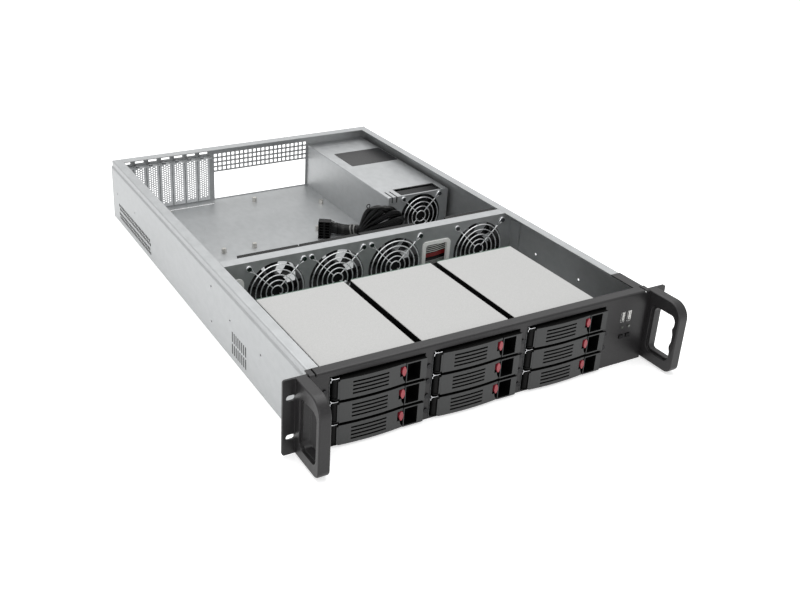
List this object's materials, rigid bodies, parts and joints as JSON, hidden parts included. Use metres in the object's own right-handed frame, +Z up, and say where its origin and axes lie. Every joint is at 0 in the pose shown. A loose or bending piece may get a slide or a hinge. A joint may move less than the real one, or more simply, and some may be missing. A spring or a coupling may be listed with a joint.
{
  "type": "rack server chassis",
  "caption": "Open two-unit rack server chassis with hot-swap drive trays, a cross wall of fans, a power supply and a tied cable harness.",
  "frame": {"origin": "on the underside, midway between the ears, in the plane of the ears' back faces", "axes": "+X to the right seen from the front, +Y to the rear, +Z up"},
  "size_m": [0.4826, 0.696, 0.088],
  "materials": {
    "galvanised_steel": "satin",
    "black_powder_coat": "satin",
    "cage_steel": "matt",
    "black_plastic": "matt",
    "bezel_plastic": "matt",
    "latch_plastic": "gloss",
    "chrome_wire": "polished",
    "white_nylon": "matt",
    "green_board": "satin",
    "port_steel": "satin",
    "lamp_plastic": "gloss",
    "black_screw": "satin",
    "brass_post": "satin",
    "black_wire": "matt"
  },
  "bodies": {
    "chassis": {"chassis_pan": "galvanised_steel", "rear_panel": "galvanised_steel", "slot_covers": "galvanised_steel", "front_panel": "black_powder_coat", "handle_left": "black_powder_coat", "handle_right": "black_powder_coat", "fan_wall": "galvanised_steel", "cable_grommets": "white_nylon", "fan_frames": "black_plastic", "finger_guards": "chrome_wire", "psu_case": "galvanised_steel", "psu_fan_frame": "black_plastic", "psu_inlet": "black_plastic", "psu_board": "green_board", "usb_ports": "port_steel", "front_io_board": "green_board", "panel_leds": "lamp_plastic", "screws": "black_screw", "standoffs": "brass_post", "main_power_plug": "black_plastic", "harness_hank": "black_wire", "backplanes": "green_board", "drive_cage_left": "cage_steel", "drive_cage_centre": "cage_steel", "drive_cage_right": "cage_steel"},
    "tray_left_bottom": {"tray_left_bottom": "black_plastic"},
    "lever_left_bottom": {"lever_left_bottom": "bezel_plastic"},
    "latch_left_bottom": {"latch_left_bottom": "latch_plastic"},
    "tray_left_middle": {"tray_left_middle": "black_plastic"},
    "lever_left_middle": {"lever_left_middle": "bezel_plastic"},
    "latch_left_middle": {"latch_left_middle": "latch_plastic"},
    "tray_left_top": {"tray_left_top": "black_plastic"},
    "lever_left_top": {"lever_left_top": "bezel_plastic"},
    "latch_left_top": {"latch_left_top": "latch_plastic"},
    "tray_centre_bottom": {"tray_centre_bottom": "black_plastic"},
    "lever_centre_bottom": {"lever_centre_bottom": "bezel_plastic"},
    "latch_centre_bottom": {"latch_centre_bottom": "latch_plastic"},
    "tray_centre_middle": {"tray_centre_middle": "black_plastic"},
    "lever_centre_middle": {"lever_centre_middle": "bezel_plastic"},
    "latch_centre_middle": {"latch_centre_middle": "latch_plastic"},
    "tray_centre_top": {"tray_centre_top": "black_plastic"},
    "lever_centre_top": {"lever_centre_top": "bezel_plastic"},
    "latch_centre_top": {"latch_centre_top": "latch_plastic"},
    "tray_right_bottom": {"tray_right_bottom": "black_plastic"},
    "lever_right_bottom": {"lever_right_bottom": "bezel_plastic"},
    "latch_right_bottom": {"latch_right_bottom": "latch_plastic"},
    "tray_right_middle": {"tray_right_middle": "black_plastic"},
    "lever_right_middle": {"lever_right_middle": "bezel_plastic"},
    "latch_right_middle": {"latch_right_middle": "latch_plastic"},
    "tray_right_top": {"tray_right_top": "black_plastic"},
    "lever_right_top": {"lever_right_top": "bezel_plastic"},
    "latch_right_top": {"latch_right_top": "latch_plastic"},
    "fan_rotor_1": {"fan_rotor_1": "black_plastic"},
    "fan_rotor_2": {"fan_rotor_2": "black_plastic"},
    "fan_rotor_3": {"fan_rotor_3": "black_plastic"},
    "fan_rotor_4": {"fan_rotor_4": "black_plastic"},
    "psu_rotor": {"psu_rotor": "black_plastic"},
    "power_button": {"power_button": "black_plastic"},
    "reset_button": {"reset_button": "black_plastic"}
  },
  "joints": [
    {"name": "slide_tray_left_bottom", "type": "slide", "parent": "chassis", "child": "tray_left_bottom", "axis": [0, -1, 0], "range_m": [0, 0.15]},
    {"name": "swing_lever_left_bottom", "type": "hinge", "parent": "tray_left_bottom", "child": "lever_left_bottom", "pos_m": [-0.1863, -0.0042, 0.0151], "axis": [0, 0, -1], "range_deg": [0, 60]},
    {"name": "press_latch_left_bottom", "type": "slide", "parent": "lever_left_bottom", "child": "latch_left_bottom", "axis": [-1, 0, 0], "range_m": [0, 0.002], "stiffness_N_per_m": 400},
    {"name": "slide_tray_left_middle", "type": "slide", "parent": "chassis", "child": "tray_left_middle", "axis": [0, -1, 0], "range_m": [0, 0.15]},
    {"name": "swing_lever_left_middle", "type": "hinge", "parent": "tray_left_middle", "child": "lever_left_middle", "pos_m": [-0.1863, -0.0042, 0.0414], "axis": [0, 0, -1], "range_deg": [0, 60]},
    {"name": "press_latch_left_middle", "type": "slide", "parent": "lever_left_middle", "child": "latch_left_middle", "axis": [-1, 0, 0], "range_m": [0, 0.002], "stiffness_N_per_m": 400},
    {"name": "slide_tray_left_top", "type": "slide", "parent": "chassis", "child": "tray_left_top", "axis": [0, -1, 0], "range_m": [0, 0.15]},
    {"name": "swing_lever_left_top", "type": "hinge", "parent": "tray_left_top", "child": "lever_left_top", "pos_m": [-0.1863, -0.0042, 0.0677], "axis": [0, 0, -1], "range_deg": [0, 60]},
    {"name": "press_latch_left_top", "type": "slide", "parent": "lever_left_top", "child": "latch_left_top", "axis": [-1, 0, 0], "range_m": [0, 0.002], "stiffness_N_per_m": 400},
    {"name": "slide_tray_centre_bottom", "type": "slide", "parent": "chassis", "child": "tray_centre_bottom", "axis": [0, -1, 0], "range_m": [0, 0.15]},
    {"name": "swing_lever_centre_bottom", "type": "hinge", "parent": "tray_centre_bottom", "child": "lever_centre_bottom", "pos_m": [-0.0685, -0.0042, 0.0151], "axis": [0, 0, -1], "range_deg": [0, 60]},
    {"name": "press_latch_centre_bottom", "type": "slide", "parent": "lever_centre_bottom", "child": "latch_centre_bottom", "axis": [-1, 0, 0], "range_m": [0, 0.002], "stiffness_N_per_m": 400},
    {"name": "slide_tray_centre_middle", "type": "slide", "parent": "chassis", "child": "tray_centre_middle", "axis": [0, -1, 0], "range_m": [0, 0.15]},
    {"name": "swing_lever_centre_middle", "type": "hinge", "parent": "tray_centre_middle", "child": "lever_centre_middle", "pos_m": [-0.0685, -0.0042, 0.0414], "axis": [0, 0, -1], "range_deg": [0, 60]},
    {"name": "press_latch_centre_middle", "type": "slide", "parent": "lever_centre_middle", "child": "latch_centre_middle", "axis": [-1, 0, 0], "range_m": [0, 0.002], "stiffness_N_per_m": 400},
    {"name": "slide_tray_centre_top", "type": "slide", "parent": "chassis", "child": "tray_centre_top", "axis": [0, -1, 0], "range_m": [0, 0.15]},
    {"name": "swing_lever_centre_top", "type": "hinge", "parent": "tray_centre_top", "child": "lever_centre_top", "pos_m": [-0.0685, -0.0042, 0.0677], "axis": [0, 0, -1], "range_deg": [0, 60]},
    {"name": "press_latch_centre_top", "type": "slide", "parent": "lever_centre_top", "child": "latch_centre_top", "axis": [-1, 0, 0], "range_m": [0, 0.002], "stiffness_N_per_m": 400},
    {"name": "slide_tray_right_bottom", "type": "slide", "parent": "chassis", "child": "tray_right_bottom", "axis": [0, -1, 0], "range_m": [0, 0.15]},
    {"name": "swing_lever_right_bottom", "type": "hinge", "parent": "tray_right_bottom", "child": "lever_right_bottom", "pos_m": [0.0493, -0.0042, 0.0151], "axis": [0, 0, -1], "range_deg": [0, 60]},
    {"name": "press_latch_right_bottom", "type": "slide", "parent": "lever_right_bottom", "child": "latch_right_bottom", "axis": [-1, 0, 0], "range_m": [0, 0.002], "stiffness_N_per_m": 400},
    {"name": "slide_tray_right_middle", "type": "slide", "parent": "chassis", "child": "tray_right_middle", "axis": [0, -1, 0], "range_m": [0, 0.15]},
    {"name": "swing_lever_right_middle", "type": "hinge", "parent": "tray_right_middle", "child": "lever_right_middle", "pos_m": [0.0493, -0.0042, 0.0414], "axis": [0, 0, -1], "range_deg": [0, 60]},
    {"name": "press_latch_right_middle", "type": "slide", "parent": "lever_right_middle", "child": "latch_right_middle", "axis": [-1, 0, 0], "range_m": [0, 0.002], "stiffness_N_per_m": 400},
    {"name": "slide_tray_right_top", "type": "slide", "parent": "chassis", "child": "tray_right_top", "axis": [0, -1, 0], "range_m": [0, 0.15]},
    {"name": "swing_lever_right_top", "type": "hinge", "parent": "tray_right_top", "child": "lever_right_top", "pos_m": [0.0493, -0.0042, 0.0677], "axis": [0, 0, -1], "range_deg": [0, 60]},
    {"name": "press_latch_right_top", "type": "slide", "parent": "lever_right_top", "child": "latch_right_top", "axis": [-1, 0, 0], "range_m": [0, 0.002], "stiffness_N_per_m": 400},
    {"name": "spin_fan_rotor_1", "type": "hinge", "parent": "chassis", "child": "fan_rotor_1", "pos_m": [-0.133, 0.2572, 0.044], "axis": [0, 1, 0], "continuous": true},
    {"name": "spin_fan_rotor_2", "type": "hinge", "parent": "chassis", "child": "fan_rotor_2", "pos_m": [-0.051, 0.2572, 0.044], "axis": [0, 1, 0], "continuous": true},
    {"name": "spin_fan_rotor_3", "type": "hinge", "parent": "chassis", "child": "fan_rotor_3", "pos_m": [0.032, 0.2572, 0.044], "axis": [0, 1, 0], "continuous": true},
    {"name": "spin_fan_rotor_4", "type": "hinge", "parent": "chassis", "child": "fan_rotor_4", "pos_m": [0.16, 0.2572, 0.044], "axis": [0, 1, 0], "continuous": true},
    {"name": "spin_psu_rotor", "type": "hinge", "parent": "chassis", "child": "psu_rotor", "pos_m": [0.1621, 0.396, 0.0362], "axis": [0, 1, 0], "continuous": true},
    {"name": "press_power_button", "type": "slide", "parent": "chassis", "child": "power_button", "axis": [0, 1, 0], "range_m": [0, 0.0008], "stiffness_N_per_m": 1500},
    {"name": "press_reset_button", "type": "slide", "parent": "chassis", "child": "reset_button", "axis": [0, 1, 0], "range_m": [0, 0.0008], "stiffness_N_per_m": 1500}
  ]
}
